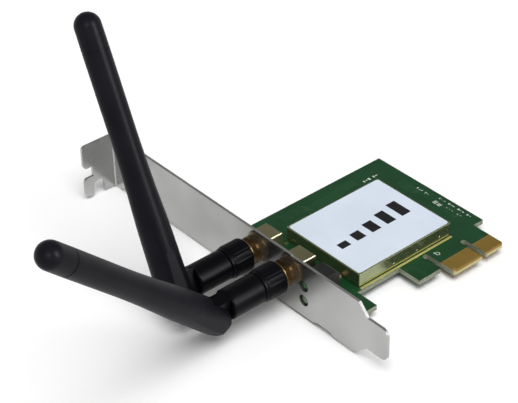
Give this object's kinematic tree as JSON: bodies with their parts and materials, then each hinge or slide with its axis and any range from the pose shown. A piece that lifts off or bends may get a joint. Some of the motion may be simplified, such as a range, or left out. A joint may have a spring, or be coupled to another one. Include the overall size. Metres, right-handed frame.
{
  "type": "wifi card",
  "caption": "Wireless network card for a short expansion slot, with a full-height bracket and hinged rod antennas on screw-on coaxial jacks",
  "frame": {"origin": "the edge connector's key notch: on the contact edge, at the notch's centre line and half the board's thickness", "axes": "+X is the way the card is pushed into its slot, +Y runs from the bracket along the card, +Z leaves the component side"},
  "size_m": [0.1209, 0.1516, 0.0857],
  "materials": {
    "zinc_steel": "satin zinc plate",
    "green_board": "glossy solder mask",
    "gold": "gold plate",
    "can_steel": "bright tin plate",
    "label_film": "pale satin film",
    "chip_black": "moulded",
    "ferrite_grey": "sintered",
    "ceramic_tan": "fired ceramic",
    "resistor_black": "glazed",
    "jack_brass": "gold over nickel",
    "white_insulator": "turned",
    "nut_brass": "machined",
    "rod_black": "satin moulded",
    "base_black": "satin moulded",
    "pin_steel": "turned",
    "radiator_brass": "drawn tube",
    "holder_black": "moulded",
    "lens_green": "tinted clear",
    "lens_amber": "tinted clear"
  },
  "bodies": {
    "card": {"bracket": "zinc_steel", "circuit_board": "green_board", "contacts_component_side": "gold", "contacts_solder_side": "gold", "ground_strip": "gold", "shield_frame": "can_steel", "shield_lid": "can_steel", "label": "label_film", "radio_chip": "chip_black", "front_end_chip": "chip_black", "flash_chip": "chip_black", "crystal": "can_steel", "power_inductor": "ferrite_grey", "ceramic_capacitors": "ceramic_tan", "chip_resistors": "resistor_black", "led_holder": "holder_black", "activity_light": "lens_green", "link_light": "lens_amber", "jack_1_body": "jack_brass", "jack_1_insulator": "white_insulator", "jack_1_contact": "gold", "jack_1_washer": "nut_brass", "jack_1_nut": "nut_brass", "jack_2_body": "jack_brass", "jack_2_insulator": "white_insulator", "jack_2_contact": "gold", "jack_2_washer": "nut_brass", "jack_2_nut": "nut_brass"},
    "antenna_1_coupling": {"antenna_1_coupling_nut": "nut_brass", "antenna_1_collar": "base_black"},
    "antenna_1_base": {"antenna_1_base": "base_black", "antenna_1_plug_ferrule": "nut_brass", "antenna_1_plug_insulator": "white_insulator", "antenna_1_plug_contact": "gold"},
    "antenna_1_rod": {"antenna_1_rod": "rod_black", "antenna_1_tip_cap": "rod_black", "antenna_1_radiator": "radiator_brass", "antenna_1_hinge_pin": "pin_steel"},
    "antenna_2_coupling": {"antenna_2_coupling_nut": "nut_brass", "antenna_2_collar": "base_black"},
    "antenna_2_base": {"antenna_2_base": "base_black", "antenna_2_plug_ferrule": "nut_brass", "antenna_2_plug_insulator": "white_insulator", "antenna_2_plug_contact": "gold"},
    "antenna_2_rod": {"antenna_2_rod": "rod_black", "antenna_2_tip_cap": "rod_black", "antenna_2_radiator": "radiator_brass", "antenna_2_hinge_pin": "pin_steel"}
  },
  "joints": [
    {"name": "antenna_1_coupling_turn", "type": "hinge", "parent": "card", "child": "antenna_1_coupling", "pos_m": [-0.0391, -0.06125, 0.0085], "axis": [0, -1, 0], "continuous": true},
    {"name": "antenna_1_swivel", "type": "hinge", "parent": "card", "child": "antenna_1_base", "pos_m": [-0.0391, -0.06975, 0.0085], "axis": [0, -1, 0], "range_deg": [-23.7, 156.3]},
    {"name": "antenna_1_tilt", "type": "hinge", "parent": "antenna_1_base", "child": "antenna_1_rod", "pos_m": [-0.0391, -0.0825, 0.0085], "axis": [-0.9157, 0, -0.4019], "range_deg": [-90, 0]},
    {"name": "antenna_2_coupling_turn", "type": "hinge", "parent": "card", "child": "antenna_2_coupling", "pos_m": [-0.025, -0.06125, 0.0085], "axis": [0, -1, 0], "continuous": true},
    {"name": "antenna_2_swivel", "type": "hinge", "parent": "card", "child": "antenna_2_base", "pos_m": [-0.025, -0.06975, 0.0085], "axis": [0, -1, 0], "range_deg": [-167.8, 12.2]},
    {"name": "antenna_2_tilt", "type": "hinge", "parent": "antenna_2_base", "child": "antenna_2_rod", "pos_m": [-0.025, -0.0825, 0.0085], "axis": [-0.9774, 0, 0.2113], "range_deg": [-46.1, 43.9]}
  ]
}
